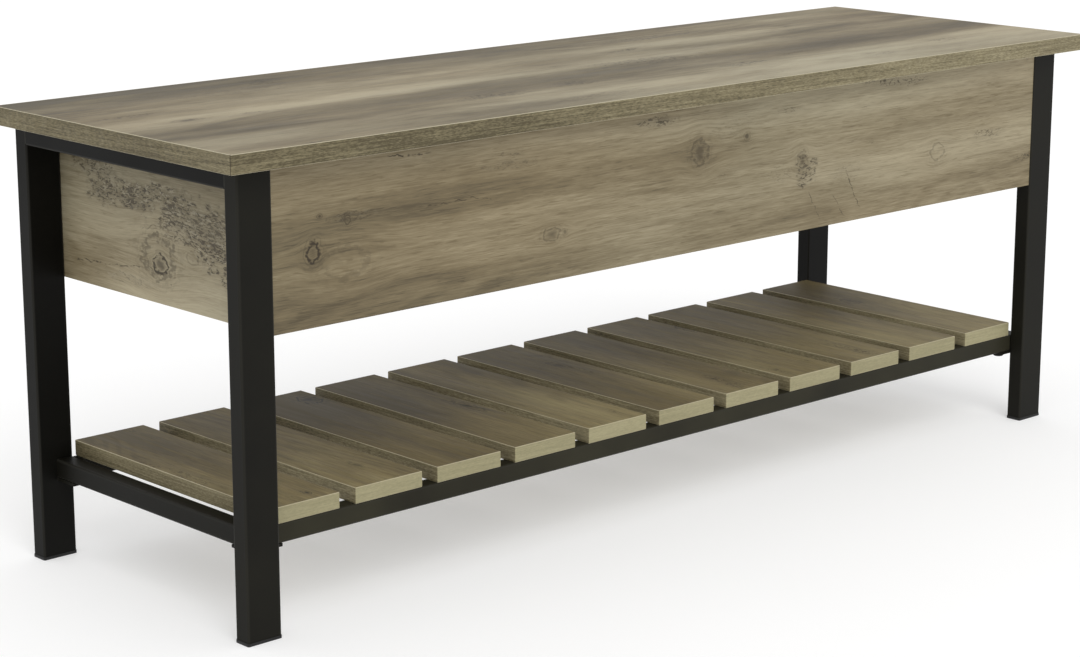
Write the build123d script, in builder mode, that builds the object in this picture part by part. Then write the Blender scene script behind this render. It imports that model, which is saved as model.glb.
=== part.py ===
from build123d import *
import os
from math import asin, degrees, hypot, radians, sin, sqrt

# Lift-top storage bench with a slatted shoe shelf, in millimetres.
# X runs along the bench, Y from front to rear and Z up. The origin is on the
# floor, in the middle of the outline of lid and hinges.

# ---- Lid --------------------------------------------------------------------
lid_length = 1219.2
lid_depth = 381.0
lid_thickness = 18.0
seat_height = 457.2
edge_band = 1.0
end_overhang = 22.6
front_overhang = 24.0
lid_gap = 1.5                   # between frame and lid, taken up by the bumpers
bumper_radius = 6.0
bumper_free_play = 0.2

# ---- Frame tubes ------------------------------------------------------------
tube_width = 38.0
tube_depth = 19.0
tube_wall = 1.2
tube_corner = 2.0
shelf_tube = 19.0
shelf_underside = 82.5
foot_flange = 3.0
foot_lip = 0.4                  # how far a foot stands proud of its tube
plug_length = 16.0
plug_clearance = 0.1

# ---- Boards of the storage box ------------------------------------------------
board = 15.0
box_height = 153.7
panel_recess = 1.5              # panels lie this far behind the leg faces
bottom_recess = 10.0
rear_panel_drop = 0.7           # room above the rear panel for the lid leaves

# ---- Shelf slats --------------------------------------------------------------
slat_count = 11
slat_gap = 19.0
slat_thickness = 16.0
slat_end_gap = 3.0
slat_edge_round = 1.0
slat_screw_radius = 2.0
slat_screw_head = 4.0
slat_screw_bite = 11.0

# ---- Shelf corner plates --------------------------------------------------------
plate_length = 36.5
plate_depth = 29.0
plate_thickness = 3.0
plate_chamfer = 10.0
shelf_bolt_inset = 28.0         # from the end face of the shelf frame
shelf_bolt_rise = 14.0

# ---- Hinges -------------------------------------------------------------------
hinge_length = 60.0
hinge_inset = 130.0             # hinge centre to the inner face of the end panel
knuckle_count = 5
knuckle_radius = 3.5
knuckle_gap = 0.4
hinge_offset = 4.0              # hinge axis to the faces that carry the leaves
leaf_thickness = 1.5
fixed_leaf_width = 30.0
fixed_screw_drop = 19.0
lid_leaf_margin = 15.0          # lid leaf beyond the inner face of the rear panel
lid_screw_margin = 7.0
leaf_screw_spread = 20.0
pin_radius = 1.75
pin_head = 3.0
pin_head_height = 1.5
running_fit = 0.05
part_gap = 0.5                  # between a leaf and the other leaf's knuckles

# ---- Lid stays (gas struts) -----------------------------------------------------
lid_open_angle = 80.0
stay_standoff = 16.0            # stay centre line to the end panel
stay_foot_height = 15.7         # lower pin above the bottom panel
stay_foot_setback = 12.7        # lower pin in front of the rear panel
stay_head_drop = 12.0           # upper pin below the lid
stay_radius = 7.5
stay_bore = 6.4
stay_piston = 6.2
stay_rod = 3.0
stay_rod_guide = 3.1
stay_neck = 4.0
stay_pin = 3.0
stay_shoulder = 5.0
stay_clip = 4.5
eye_radius = 6.0
eye_width = 10.0
eye_play = 0.3
stay_body_start = 9.0
stay_bore_start = 12.5
stay_cap = 2.0
stay_head_room = 14.0           # closed, from the cylinder's end to the upper pin
stay_engagement = 8.0           # open, rod left inside the cylinder
piston_thickness = 4.0
bracket_thickness = 2.0
bracket_width = 20.0
bracket_height = 30.0
bracket_screw_spread = 10.5
bracket_round = 4.0
lid_bracket_length = 34.0
lid_bracket_screw_spread = 12.0
ear_width = 14.0

# ---- Screws, bolts and box fittings ---------------------------------------------
screw_radius = 1.6
screw_head = 3.2
screw_head_height = 1.6
screw_skin = 3.0                # wood left beyond a screw's point
hole_clearance = 0.05
bolt_radius = 3.0
bolt_head = 6.0
bolt_head_height = 3.0
bolt_clearance = 0.3
box_bolt_pitch = 110.0
rivet_nut_radius = 4.4
rivet_nut_bulge = 6.0
rivet_nut_length = 12.0
rivet_bulge_length = 3.0
cam_radius = 7.4
cam_length = 12.0
cam_setback = 24.0              # cam centre from the joint
cam_slot = (1.2, 9.0, 1.5)      # screwdriver slot: width, length, depth
cam_bolt_thread = 3.0
cam_bolt_bite = 11.0
cam_bolt_shank = 2.5
cam_bolt_head = 3.4
cam_bolt_head_length = 6.0
cam_bolt_hole = 4.0
cam_drops = (32.0, 77.0)        # corner cams below the frame top
bottom_cam_pitch = 360.0
dowel_radius = 4.0
dowel_length = 30.0
dowel_bite = 10.0
corner_dowel_drop = 54.0
bottom_dowel_spread = 180.0
end_dowel_spread = 100.0

# ---- Planes and faces that follow -------------------------------------------------
lid_underside = seat_height - lid_thickness
frame_top = lid_underside - lid_gap
hinge_reach = hinge_offset + knuckle_radius - panel_recess
rear_y = (lid_depth - hinge_reach) / 2
lid_front_y = rear_y - lid_depth
front_y = lid_front_y + front_overhang
frame_mid_y = (front_y + rear_y) / 2
leg_x = lid_length / 2 - end_overhang
leg_inner_x = leg_x - tube_width
leg_mid_x = leg_x - tube_width / 2
front_inner_y = front_y + tube_depth
rear_inner_y = rear_y - tube_depth

panel_bottom = frame_top - box_height
front_panel_y = (front_y + panel_recess, front_y + panel_recess + board)
rear_panel_y = (rear_y - panel_recess - board, rear_y - panel_recess)
inner_y = (front_panel_y[1], rear_panel_y[0])
inner_x = leg_inner_x - board
end_mid_x = leg_inner_x - board / 2
bottom_z = (panel_bottom + bottom_recess, panel_bottom + bottom_recess + board)
bottom_mid_z = (bottom_z[0] + bottom_z[1]) / 2
rear_panel_top = frame_top - rear_panel_drop

shelf_top = shelf_underside + shelf_tube
shelf_outer_x = leg_inner_x + shelf_tube
slat_span = 2 * (leg_inner_x - slat_end_gap)
slat_width = (slat_span - (slat_count - 1) * slat_gap) / slat_count
slat_pitch = slat_width + slat_gap
slat_centres = [(i - (slat_count - 1) / 2) * slat_pitch for i in range(slat_count)]
shelf_rail_mid_y = {"front": front_inner_y + shelf_tube / 2, "rear": rear_inner_y - shelf_tube / 2}
shelf_bolt_x = shelf_outer_x - shelf_bolt_inset

hinge_y = rear_y - panel_recess + hinge_offset
hinge_z = lid_underside - hinge_offset
hinge_x = inner_x - hinge_inset
hinge_centres = {"left": -hinge_x, "centre": 0.0, "right": hinge_x}
knuckle_pitch = hinge_length / knuckle_count
lid_leaf_width = hinge_offset + board + lid_leaf_margin

stay_x = inner_x - stay_standoff
foot_y = inner_y[1] - stay_foot_setback
foot_z = bottom_z[1] + stay_foot_height
stay_arm = hypot(hinge_y - foot_y, hinge_z - foot_z)
head_z = lid_underside - stay_head_drop
head_y = hinge_y - sqrt(stay_arm**2 - (hinge_z - head_z) ** 2)
stay_closed = hypot(head_y - foot_y, head_z - foot_z)
closed_spread = 2 * degrees(asin(stay_closed / 2 / stay_arm))
stay_open = 2 * stay_arm * sin(radians(closed_spread + lid_open_angle) / 2)
cylinder_end = stay_closed - stay_head_room
rod_length = stay_open - cylinder_end + stay_cap + stay_engagement

# ---- Places shared by holes and the fasteners in them -------------------------------
leaf_screw_x = [x + s for x in hinge_centres.values() for s in (-leaf_screw_spread, leaf_screw_spread)]
fixed_leaf_screws = [(x, hinge_z - fixed_screw_drop) for x in leaf_screw_x]
lid_leaf_screws = [(x, inner_y[1] - lid_screw_margin) for x in leaf_screw_x]
wall_bracket_screws = [(foot_y, foot_z + s) for s in (-bracket_screw_spread, bracket_screw_spread)]
lid_bracket_screw_y = [head_y + s for s in (-lid_bracket_screw_spread, lid_bracket_screw_spread)]
box_bolts = [(frame_mid_y + i * box_bolt_pitch, frame_top - tube_depth / 2) for i in (-1, 0, 1)]
cam_heights = [frame_top - drop for drop in cam_drops]
bottom_cam_x = [i * bottom_cam_pitch for i in (-1, 0, 1)]
corner_dowel_z = frame_top - corner_dowel_drop
bottom_dowel_x = [-bottom_dowel_spread, bottom_dowel_spread]
end_dowel_y = [frame_mid_y - end_dowel_spread, frame_mid_y + end_dowel_spread]
cam_y = {"front": inner_y[0] + cam_setback, "rear": inner_y[1] - cam_setback}
joint_y = {"front": inner_y[0], "rear": inner_y[1]}
into_box = {"front": 1, "rear": -1}
sides = {"left": -1, "right": 1}
board_screw_depth = board - screw_skin
lid_screw_depth = lid_thickness - screw_skin

os.makedirs("parts", exist_ok=True)


def save(piece, name):
    """Label a finished piece and write its file."""
    piece.part.label = name
    export_step(piece.part, f"parts/{name}.step")


def section_plane(axis, at):
    """The plane across an axis, and the sign of its normal on that axis."""
    plane = {"X": Plane.YZ, "Y": Plane.XZ, "Z": Plane.XY}[axis]
    sign = -1 if axis == "Y" else 1
    return plane.offset(sign * at), sign


def bars(axis, places, radius, start, end, mode=Mode.ADD):
    """Round bars, or round holes, along an axis: one at each place across it."""
    plane, sign = section_plane(axis, start)
    with BuildSketch(plane) as ends:
        with Locations(*places):
            Circle(radius)
    extrude(ends.sketch, amount=sign * (end - start), mode=mode)


def tube(axis, centre, width, height, start, end):
    """A rectangular tube along an axis, with rounded corners."""
    plane, sign = section_plane(axis, start)
    with BuildSketch(plane) as section:
        with Locations(centre):
            RectangleRounded(width, height, tube_corner)
            RectangleRounded(width - 2 * tube_wall, height - 2 * tube_wall, tube_corner - tube_wall,
                             mode=Mode.SUBTRACT)
    extrude(section.sketch, amount=sign * (end - start))


def block(x, y, z, mode=Mode.ADD):
    """A rectangular block between two values on each axis."""
    with BuildSketch(Plane.XY.offset(z[0])) as outline:
        with Locations(((x[0] + x[1]) / 2, (y[0] + y[1]) / 2)):
            Rectangle(abs(x[1] - x[0]), abs(y[1] - y[0]))
    extrude(outline.sketch, amount=z[1] - z[0], mode=mode)


# ---- Steel end frames: legs and top rails --------------------------------------------
leg_mid_y = {"front": front_y + tube_depth / 2, "rear": rear_y - tube_depth / 2}
for side, x_sign in sides.items():
    for end, y in leg_mid_y.items():
        with BuildPart() as leg:
            tube("Z", (x_sign * leg_mid_x, y), tube_width, tube_depth, foot_flange, frame_top)
        save(leg, f"leg_{end}_{side}")

        with BuildPart() as foot:
            with BuildSketch():
                with Locations((x_sign * leg_mid_x, y)):
                    RectangleRounded(tube_width + 2 * foot_lip, tube_depth + 2 * foot_lip, tube_corner)
            extrude(amount=foot_flange)
            fillet(foot.edges().group_by(Axis.Z)[0], foot_lip)
            with BuildSketch(Plane.XY.offset(foot_flange)):
                with Locations((x_sign * leg_mid_x, y)):
                    Rectangle(tube_width - 2 * (tube_wall + plug_clearance + tube_corner - tube_wall),
                              tube_depth - 2 * (tube_wall + plug_clearance))
                    Rectangle(tube_width - 2 * (tube_wall + plug_clearance),
                              tube_depth - 2 * (tube_wall + plug_clearance + tube_corner - tube_wall))
            extrude(amount=plug_length)
        save(foot, f"foot_plug_{end}_{side}")

    with BuildPart() as top_rail:
        tube("Y", (x_sign * leg_mid_x, frame_top - tube_depth / 2), tube_width, tube_depth,
             front_inner_y, rear_inner_y)
        bars("X", box_bolts, rivet_nut_radius + hole_clearance,
             x_sign * leg_inner_x, x_sign * (leg_inner_x + tube_wall), Mode.SUBTRACT)
    save(top_rail, f"top_rail_{side}")

with BuildPart() as leg_top_plugs:
    with BuildSketch(Plane.XY.offset(frame_top)):
        with Locations(*[(s * leg_mid_x, y) for s in sides.values() for y in leg_mid_y.values()]):
            Rectangle(tube_width - 2 * (tube_corner + plug_clearance),
                      tube_depth - 2 * (tube_wall + plug_clearance))
    extrude(amount=-plug_length)
save(leg_top_plugs, "leg_top_plugs")

with BuildPart() as lid_bumpers:
    bars("Z", [(s * leg_mid_x, y) for s in sides.values()
               for y in (front_inner_y + tube_depth, rear_inner_y - tube_depth)],
         bumper_radius, frame_top, lid_underside - bumper_free_play)
save(lid_bumpers, "lid_bumpers")

# ---- Shelf frame ----------------------------------------------------------------------
shelf_rail_z = shelf_underside + shelf_tube / 2
for end, y in shelf_rail_mid_y.items():
    with BuildPart() as shelf_rail:
        tube("X", (y, shelf_rail_z), shelf_tube, shelf_tube, -leg_inner_x, leg_inner_x)
        bars("Z", [(x, y) for x in slat_centres], slat_screw_radius + hole_clearance,
             shelf_underside, shelf_top, Mode.SUBTRACT)
        bars("Z", [(s * shelf_bolt_x, y) for s in sides.values()], bolt_radius + hole_clearance,
             shelf_underside, shelf_underside + tube_wall, Mode.SUBTRACT)
    save(shelf_rail, f"shelf_rail_{end}")

for side, x_sign in sides.items():
    with BuildPart() as shelf_end_rail:
        tube("Y", (x_sign * (leg_inner_x + shelf_tube / 2), shelf_rail_z), shelf_tube, shelf_tube,
             front_inner_y, rear_inner_y)
    save(shelf_end_rail, f"shelf_rail_{side}")

with BuildPart() as shelf_corner_plates:
    plate_z = shelf_underside - plate_thickness
    with BuildSketch(Plane.XY.offset(plate_z)):
        for x_sign in sides.values():
            for end, y_wall in {"front": front_inner_y, "rear": rear_inner_y}.items():
                y_sign = into_box[end]
                x_outer = x_sign * shelf_outer_x
                x_free = x_sign * (shelf_outer_x - plate_length)
                y_free = y_wall + y_sign * plate_depth
                with BuildLine():
                    Polyline((x_outer, y_wall), (x_free, y_wall),
                             (x_free, y_free - y_sign * plate_chamfer),
                             (x_free + x_sign * plate_chamfer, y_free),
                             (x_outer, y_free), close=True)
                make_face()
    extrude(amount=plate_thickness)
    bars("Z", [(s * shelf_bolt_x, y) for s in sides.values() for y in shelf_rail_mid_y.values()],
         bolt_radius + bolt_clearance, plate_z, shelf_underside, Mode.SUBTRACT)
save(shelf_corner_plates, "shelf_corner_plates")

with BuildPart() as shelf_bolts:
    places = [(s * shelf_bolt_x, y) for s in sides.values() for y in shelf_rail_mid_y.values()]
    bars("Z", places, bolt_head, plate_z - bolt_head_height, plate_z)
    fillet(shelf_bolts.edges().group_by(Axis.Z)[0], bolt_head_height / 2)
    bars("Z", places, bolt_radius, plate_z, shelf_underside + shelf_bolt_rise)
save(shelf_bolts, "shelf_bolts")

# ---- Slats -----------------------------------------------------------------------------
slat_top = shelf_top + slat_thickness
for number, x in enumerate(slat_centres, start=1):
    with BuildPart() as slat:
        block((x - slat_width / 2, x + slat_width / 2), (front_inner_y, rear_inner_y), (shelf_top, slat_top))
        fillet(slat.edges().group_by(Axis.Z)[-1], slat_edge_round)
        bars("Z", [(x, y) for y in shelf_rail_mid_y.values()], slat_screw_radius + hole_clearance,
             shelf_top, shelf_top + slat_screw_bite, Mode.SUBTRACT)
    save(slat, f"slat_{number:02d}")

with BuildPart() as slat_screws:
    places = [(x, y) for x in slat_centres for y in shelf_rail_mid_y.values()]
    bars("Z", places, slat_screw_head, shelf_underside - screw_head_height, shelf_underside)
    bars("Z", places, slat_screw_radius, shelf_underside, shelf_top + slat_screw_bite)
save(slat_screws, "slat_screws")

# ---- Storage box -------------------------------------------------------------------------
with BuildPart() as front_panel:
    block((-leg_inner_x, leg_inner_x), front_panel_y, (panel_bottom, frame_top))
    cam_bolt_places = [(s * end_mid_x, z) for s in sides.values() for z in cam_heights]
    cam_bolt_places += [(x, bottom_mid_z) for x in bottom_cam_x]
    dowel_places = [(s * end_mid_x, corner_dowel_z) for s in sides.values()]
    dowel_places += [(x, bottom_mid_z) for x in bottom_dowel_x]
    bars("Y", cam_bolt_places, cam_bolt_thread + hole_clearance,
         inner_y[0], inner_y[0] - cam_bolt_bite, Mode.SUBTRACT)
    bars("Y", dowel_places, dowel_radius + hole_clearance, inner_y[0], inner_y[0] - dowel_bite, Mode.SUBTRACT)
save(front_panel, "front_panel")

with BuildPart() as rear_panel:
    block((-leg_inner_x, leg_inner_x), rear_panel_y, (panel_bottom, rear_panel_top))
    bars("Y", cam_bolt_places, cam_bolt_thread + hole_clearance,
         inner_y[1], inner_y[1] + cam_bolt_bite, Mode.SUBTRACT)
    bars("Y", dowel_places, dowel_radius + hole_clearance, inner_y[1], inner_y[1] + dowel_bite, Mode.SUBTRACT)
    bars("Y", fixed_leaf_screws, screw_radius + hole_clearance,
         rear_panel_y[1], rear_panel_y[1] - board_screw_depth, Mode.SUBTRACT)
save(rear_panel, "rear_panel")

for side, x_sign in sides.items():
    inner_face = x_sign * inner_x
    with BuildPart() as end_panel:
        block((inner_face, x_sign * leg_inner_x), inner_y, (panel_bottom, frame_top))
        bars("X", box_bolts, bolt_radius + bolt_clearance, inner_face, x_sign * leg_inner_x, Mode.SUBTRACT)
        bars("X", [(y, z) for y in cam_y.values() for z in cam_heights], cam_radius + hole_clearance,
             inner_face, inner_face + x_sign * cam_length, Mode.SUBTRACT)
        bars("X", wall_bracket_screws, screw_radius + hole_clearance,
             inner_face, inner_face + x_sign * board_screw_depth, Mode.SUBTRACT)
        bars("X", [(y, bottom_mid_z) for y in end_dowel_y], dowel_radius + hole_clearance,
             inner_face, inner_face + x_sign * dowel_bite, Mode.SUBTRACT)
        for end, y_joint in joint_y.items():
            bars("Y", [(x_sign * end_mid_x, z) for z in cam_heights], cam_bolt_hole,
                 y_joint, cam_y[end], Mode.SUBTRACT)
            bars("Y", [(x_sign * end_mid_x, corner_dowel_z)], dowel_radius + hole_clearance,
                 y_joint, y_joint + into_box[end] * (dowel_length - dowel_bite), Mode.SUBTRACT)
    save(end_panel, f"{side}_end_panel")

with BuildPart() as bottom_panel:
    block((-inner_x, inner_x), inner_y, bottom_z)
    bars("Z", [(x, y) for x in bottom_cam_x for y in cam_y.values()], cam_radius + hole_clearance,
         bottom_z[0], bottom_z[0] + cam_length, Mode.SUBTRACT)
    for end, y_joint in joint_y.items():
        bars("Y", [(x, bottom_mid_z) for x in bottom_cam_x], cam_bolt_hole, y_joint, cam_y[end], Mode.SUBTRACT)
        bars("Y", [(x, bottom_mid_z) for x in bottom_dowel_x], dowel_radius + hole_clearance,
             y_joint, y_joint + into_box[end] * (dowel_length - dowel_bite), Mode.SUBTRACT)
    for x_sign in sides.values():
        bars("X", [(y, bottom_mid_z) for y in end_dowel_y], dowel_radius + hole_clearance,
             x_sign * inner_x, x_sign * (inner_x - dowel_length + dowel_bite), Mode.SUBTRACT)
save(bottom_panel, "bottom_panel")

# ---- Fittings that hold the box together ----------------------------------------------------
slot_width, slot_length, slot_depth = cam_slot
with BuildPart() as cam_locks:
    for x_sign in sides.values():
        face = x_sign * inner_x
        places = [(y, z) for y in cam_y.values() for z in cam_heights]
        bars("X", places, cam_radius, face, face + x_sign * cam_length)
        with BuildSketch(Plane.YZ.offset(face)) as slots:
            with Locations(*places):
                Rectangle(slot_width, slot_length)
        extrude(slots.sketch, amount=x_sign * slot_depth, mode=Mode.SUBTRACT)
    places = [(x, y) for x in bottom_cam_x for y in cam_y.values()]
    bars("Z", places, cam_radius, bottom_z[0], bottom_z[0] + cam_length)
    with BuildSketch(Plane.XY.offset(bottom_z[0])) as slots:
        with Locations(*places):
            Rectangle(slot_length, slot_width)
    extrude(slots.sketch, amount=slot_depth, mode=Mode.SUBTRACT)
    for end, y in cam_y.items():
        bars("Y", cam_bolt_places, cam_bolt_head + plug_clearance,
             y - into_box[end] * cam_radius, y + into_box[end] * (cam_bolt_head_length / 2 + plug_clearance),
             Mode.SUBTRACT)
save(cam_locks, "cam_locks")

with BuildPart() as cam_bolts:
    for end, y in cam_y.items():
        head_start = y - into_box[end] * cam_bolt_head_length / 2
        head_end = y + into_box[end] * cam_bolt_head_length / 2
        bars("Y", cam_bolt_places, cam_bolt_thread, joint_y[end] - into_box[end] * cam_bolt_bite, joint_y[end])
        bars("Y", cam_bolt_places, cam_bolt_shank, joint_y[end], head_start)
        bars("Y", cam_bolt_places, cam_bolt_head, head_start, head_end)
save(cam_bolts, "cam_bolts")

with BuildPart() as dowels:
    for end, y_joint in joint_y.items():
        outer = y_joint - into_box[end] * dowel_bite
        bars("Y", dowel_places, dowel_radius, outer, outer + into_box[end] * dowel_length)
    for x_sign in sides.values():
        outer = x_sign * (inner_x + dowel_bite)
        bars("X", [(y, bottom_mid_z) for y in end_dowel_y], dowel_radius, outer, outer - x_sign * dowel_length)
save(dowels, "dowels")

with BuildPart() as box_hanger_bolts:
    for x_sign in sides.values():
        face = x_sign * inner_x
        nut_end = x_sign * (leg_inner_x + rivet_nut_length)
        bars("X", box_bolts, bolt_head, face - x_sign * bolt_head_height, face)
        bars("X", box_bolts, bolt_radius, face, nut_end)
save(box_hanger_bolts, "box_bolts")

with BuildPart() as rail_rivet_nuts:
    for x_sign in sides.values():
        wall_inside = x_sign * (leg_inner_x + tube_wall + hole_clearance)
        nut_end = x_sign * (leg_inner_x + rivet_nut_length)
        bars("X", box_bolts, rivet_nut_radius, x_sign * leg_inner_x, nut_end)
        bars("X", box_bolts, rivet_nut_bulge, wall_inside, wall_inside + x_sign * rivet_bulge_length)
        bars("X", box_bolts, bolt_radius + hole_clearance, x_sign * leg_inner_x, nut_end, Mode.SUBTRACT)
save(rail_rivet_nuts, "rail_rivet_nuts")

# ---- Lid ----------------------------------------------------------------------------------------
core_x = lid_length / 2 - edge_band
core_y = (lid_front_y + edge_band, rear_y - edge_band)
with BuildPart() as lid_panel:
    block((-core_x, core_x), core_y, (lid_underside, seat_height))
    bars("Z", lid_leaf_screws, screw_radius + hole_clearance,
         lid_underside, lid_underside + lid_screw_depth, Mode.SUBTRACT)
    bars("Z", [(s * stay_x, y) for s in sides.values() for y in lid_bracket_screw_y],
         screw_radius + hole_clearance, lid_underside, lid_underside + lid_screw_depth, Mode.SUBTRACT)
save(lid_panel, "lid_panel")

with BuildPart() as front_rear_bands:
    for y in (lid_front_y, rear_y - edge_band):
        block((-lid_length / 2, lid_length / 2), (y, y + edge_band), (lid_underside, seat_height))
with BuildPart() as end_bands:
    for x in (-lid_length / 2, lid_length / 2 - edge_band):
        block((x, x + edge_band), core_y, (lid_underside, seat_height))
lid_edge_bands = Compound(
    label="lid_edge_bands",
    children=[*front_rear_bands.part.solids(), *end_bands.part.solids()],
)
export_step(lid_edge_bands, "parts/lid_edge_bands.step")

# ---- Hinges -------------------------------------------------------------------------------------
knuckle_reach = knuckle_radius + part_gap
fixed_leaf_y = (rear_panel_y[1], rear_panel_y[1] + leaf_thickness)
lid_leaf_z = (lid_underside - leaf_thickness, lid_underside)
for place, x in hinge_centres.items():
    leaf_x = (x - hinge_length / 2, x + hinge_length / 2)
    spans = [(leaf_x[0] + i * knuckle_pitch, leaf_x[0] + (i + 1) * knuckle_pitch)
             for i in range(knuckle_count)]
    with BuildPart() as fixed_leaf:
        block(leaf_x, fixed_leaf_y, (hinge_z - fixed_leaf_width, hinge_z))
        fillet(fixed_leaf.edges().filter_by(Axis.Y).group_by(Axis.Z)[0], bracket_round)
        for low, high in spans[1::2]:
            block((low, high), fixed_leaf_y, (hinge_z - knuckle_reach, hinge_z), Mode.SUBTRACT)
        for low, high in spans[0::2]:
            bars("X", [(hinge_y, hinge_z)], knuckle_radius, low, high)
        bars("X", [(hinge_y, hinge_z)], pin_radius + running_fit, *leaf_x, Mode.SUBTRACT)
        bars("Y", [(x + s, hinge_z - fixed_screw_drop) for s in (-leaf_screw_spread, leaf_screw_spread)],
             screw_radius + hole_clearance, *fixed_leaf_y, Mode.SUBTRACT)
    save(fixed_leaf, f"hinge_fixed_leaf_{place}")

    with BuildPart() as lid_leaf:
        block(leaf_x, (hinge_y - lid_leaf_width, hinge_y), lid_leaf_z)
        fillet(lid_leaf.edges().filter_by(Axis.Z).group_by(Axis.Y)[0], bracket_round)
        for low, high in spans[0::2]:
            block((low, high), (hinge_y - knuckle_reach, hinge_y), lid_leaf_z, Mode.SUBTRACT)
        for low, high in spans[1::2]:
            bars("X", [(hinge_y, hinge_z)], knuckle_radius, low + knuckle_gap, high - knuckle_gap)
            block((low, low + knuckle_gap), (hinge_y - knuckle_reach, hinge_y), lid_leaf_z, Mode.SUBTRACT)
            block((high - knuckle_gap, high), (hinge_y - knuckle_reach, hinge_y), lid_leaf_z, Mode.SUBTRACT)
        bars("X", [(hinge_y, hinge_z)], pin_radius + running_fit, *leaf_x, Mode.SUBTRACT)
        bars("Z", [(x + s, inner_y[1] - lid_screw_margin) for s in (-leaf_screw_spread, leaf_screw_spread)],
             screw_radius + hole_clearance, *lid_leaf_z, Mode.SUBTRACT)
    save(lid_leaf, f"hinge_lid_leaf_{place}")

with BuildPart() as hinge_pins:
    for x in hinge_centres.values():
        low, high = x - hinge_length / 2, x + hinge_length / 2
        bars("X", [(hinge_y, hinge_z)], pin_radius, low, high)
        bars("X", [(hinge_y, hinge_z)], pin_head, low - pin_head_height, low)
        bars("X", [(hinge_y, hinge_z)], pin_head, high, high + pin_head_height)
save(hinge_pins, "hinge_pins")

# ---- Lid stays ----------------------------------------------------------------------------------
for side, x_sign in sides.items():
    x = x_sign * stay_x
    eye_x = (x - eye_width / 2, x + eye_width / 2)
    stay_axis = (0, head_y - foot_y, head_z - foot_z)
    line = Plane(origin=(x, foot_y, foot_z), x_dir=(1, 0, 0), z_dir=stay_axis)

    with BuildPart() as cylinder:
        with BuildSketch(line):
            Circle(stay_neck)
        extrude(amount=stay_body_start)
        with BuildSketch(line.offset(stay_body_start)):
            Circle(stay_radius)
        extrude(amount=cylinder_end - stay_body_start)
        chamfer(cylinder.edges().filter_by(GeomType.CIRCLE).sort_by(Axis.Z)[-1], 1.0)
        bars("X", [(foot_y, foot_z)], eye_radius, *eye_x)
        with BuildSketch(line.offset(stay_bore_start)):
            Circle(stay_bore)
        extrude(amount=cylinder_end - stay_cap - stay_bore_start, mode=Mode.SUBTRACT)
        with BuildSketch(line.offset(cylinder_end - stay_cap)):
            Circle(stay_rod_guide)
        extrude(amount=stay_cap, mode=Mode.SUBTRACT)
        bars("X", [(foot_y, foot_z)], stay_pin + running_fit, *eye_x, Mode.SUBTRACT)
    save(cylinder, f"stay_cylinder_{side}")

    with BuildPart() as rod:
        with BuildSketch(line.offset(stay_closed - rod_length)):
            Circle(stay_piston)
        extrude(amount=piston_thickness)
        with BuildSketch(line.offset(stay_closed - rod_length)):
            Circle(stay_rod)
        extrude(amount=rod_length)
        bars("X", [(head_y, head_z)], eye_radius, *eye_x)
        bars("X", [(head_y, head_z)], stay_pin + running_fit, *eye_x, Mode.SUBTRACT)
    save(rod, f"stay_rod_{side}")

    eye_outer = x + x_sign * (eye_width / 2 + eye_play)
    eye_inner = x - x_sign * (eye_width / 2 + eye_play)
    clip_end = eye_inner - x_sign * bracket_thickness
    wall_face = x_sign * inner_x
    plate_face = wall_face - x_sign * bracket_thickness
    with BuildPart() as wall_bracket:
        with BuildSketch(Plane.YZ.offset(wall_face)):
            with Locations((foot_y, foot_z)):
                RectangleRounded(bracket_width, bracket_height, bracket_round)
        extrude(amount=-x_sign * bracket_thickness)
        bars("X", wall_bracket_screws, screw_radius + hole_clearance, wall_face, plate_face, Mode.SUBTRACT)
        bars("X", [(foot_y, foot_z)], stay_shoulder, plate_face, eye_outer)
        bars("X", [(foot_y, foot_z)], stay_pin, eye_outer, eye_inner)
        bars("X", [(foot_y, foot_z)], stay_clip, eye_inner, clip_end)
    save(wall_bracket, f"stay_wall_bracket_{side}")

    ear_outer = eye_outer + x_sign * 2 * bracket_thickness
    base_z = (lid_underside - bracket_thickness, lid_underside)
    with BuildPart() as lid_bracket:
        block((clip_end, ear_outer), (head_y - lid_bracket_length / 2, head_y + lid_bracket_length / 2), base_z)
        fillet(lid_bracket.edges().filter_by(Axis.Z), bracket_thickness)
        block((ear_outer - x_sign * bracket_thickness, ear_outer),
              (head_y - ear_width / 2, head_y + ear_width / 2), (head_z, base_z[0]))
        bars("X", [(head_y, head_z)], ear_width / 2, ear_outer - x_sign * bracket_thickness, ear_outer)
        bars("X", [(head_y, head_z)], stay_shoulder, ear_outer - x_sign * bracket_thickness, eye_outer)
        bars("X", [(head_y, head_z)], stay_pin, eye_outer, eye_inner)
        bars("X", [(head_y, head_z)], stay_clip, eye_inner, clip_end)
        bars("Z", [(x, y) for y in lid_bracket_screw_y], screw_radius + hole_clearance, *base_z, Mode.SUBTRACT)
    save(lid_bracket, f"stay_lid_bracket_{side}")

# ---- Wood screws of hinges and stay brackets --------------------------------------------------------
with BuildPart() as fixed_screws:
    leaf_face = fixed_leaf_y[1]
    bars("Y", fixed_leaf_screws, screw_head, leaf_face, leaf_face + screw_head_height)
    bars("Y", fixed_leaf_screws, screw_radius, leaf_face, rear_panel_y[1] - board_screw_depth)
    for x_sign in sides.values():
        plate_face = x_sign * (inner_x - bracket_thickness)
        bars("X", wall_bracket_screws, screw_head, plate_face, plate_face - x_sign * screw_head_height)
        bars("X", wall_bracket_screws, screw_radius, plate_face, x_sign * (inner_x + board_screw_depth))
save(fixed_screws, "fixed_screws")

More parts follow.
